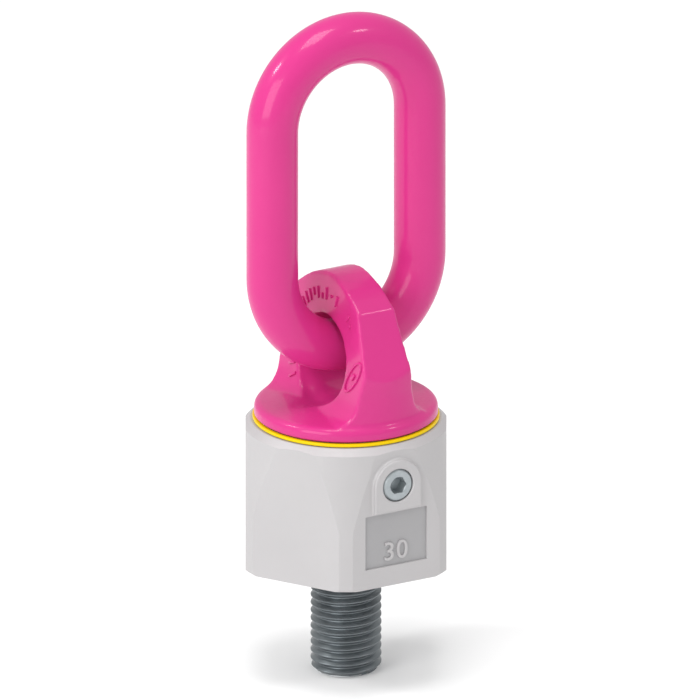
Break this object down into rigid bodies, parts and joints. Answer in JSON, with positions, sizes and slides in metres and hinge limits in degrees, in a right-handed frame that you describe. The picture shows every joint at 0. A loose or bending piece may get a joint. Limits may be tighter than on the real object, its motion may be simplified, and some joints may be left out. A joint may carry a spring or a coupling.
{
  "type": "swivel hoist ring",
  "caption": "Swivel hoist ring: an oblong load link in a forged eye that turns on ball rows in a hexagonal housing with a threaded stud.",
  "frame": {"origin": "on the thread's axis, in the plane of the housing's underside that seats on the load", "axes": "+Z along the thread, from the stud towards the link; -Y out of the flat with the plug; the link lies in the XZ plane and swings about X"},
  "size_m": [0.095, 0.087, 0.2935],
  "materials": {
    "pink_coat": "glossy powder coat",
    "yellow_plastic": "smooth moulded",
    "black_rubber": "matte",
    "satin_steel": "satin, fine machined",
    "zinc_plate": "zinc plated",
    "blued_steel": "dark phosphated",
    "spring_steel": "oiled",
    "bright_steel": "ground",
    "ball_steel": "polished"
  },
  "bodies": {
    "housing": {"housing": "satin_steel", "seal_ring": "yellow_plastic", "plug_screw": "zinc_plate", "ball_stopper": "bright_steel", "stud_bolt": "blued_steel", "bolt_retaining_ring": "spring_steel", "bolt_cover_disc": "bright_steel"},
    "head": {"swivel_head": "pink_coat", "grease_seal": "black_rubber"},
    "link": {"load_link": "pink_coat"},
    "lower_balls": {"lower_ball_01": "ball_steel", "lower_ball_02": "ball_steel", "lower_ball_03": "ball_steel", "lower_ball_04": "ball_steel", "lower_ball_05": "ball_steel", "lower_ball_06": "ball_steel", "lower_ball_07": "ball_steel", "lower_ball_08": "ball_steel", "lower_ball_09": "ball_steel", "lower_ball_10": "ball_steel", "lower_ball_11": "ball_steel", "lower_ball_12": "ball_steel", "lower_ball_13": "ball_steel", "lower_ball_14": "ball_steel", "lower_ball_15": "ball_steel", "lower_ball_16": "ball_steel"},
    "upper_balls": {"upper_ball_01": "ball_steel", "upper_ball_02": "ball_steel", "upper_ball_03": "ball_steel", "upper_ball_04": "ball_steel", "upper_ball_05": "ball_steel", "upper_ball_06": "ball_steel", "upper_ball_07": "ball_steel", "upper_ball_08": "ball_steel", "upper_ball_09": "ball_steel", "upper_ball_10": "ball_steel", "upper_ball_11": "ball_steel", "upper_ball_12": "ball_steel", "upper_ball_13": "ball_steel", "upper_ball_14": "ball_steel", "upper_ball_15": "ball_steel", "upper_ball_16": "ball_steel", "upper_ball_17": "ball_steel", "upper_ball_18": "ball_steel", "upper_ball_19": "ball_steel", "upper_ball_20": "ball_steel", "upper_ball_21": "ball_steel", "upper_ball_22": "ball_steel"}
  },
  "joints": [
    {"name": "head_swivel", "type": "hinge", "parent": "housing", "child": "head", "pos_m": [0, 0, 0.062], "axis": [0, 0, 1], "continuous": true},
    {"name": "link_swing", "type": "hinge", "parent": "head", "child": "link", "pos_m": [0, 0, 0.095], "axis": [1, 0, 0], "range_deg": [-115, 115]},
    {"name": "lower_balls_orbit", "type": "hinge", "parent": "housing", "child": "lower_balls", "pos_m": [0, 0, 0.045], "axis": [0, 0, 1], "continuous": true},
    {"name": "upper_balls_orbit", "type": "hinge", "parent": "housing", "child": "upper_balls", "pos_m": [0, 0, 0.06215], "axis": [0, 0, 1], "continuous": true}
  ],
  "couplings": [
    {"joint": "lower_balls_orbit", "follows": "head_swivel", "ratio": 0.4345},
    {"joint": "upper_balls_orbit", "follows": "head_swivel", "ratio": 0.5}
  ]
}
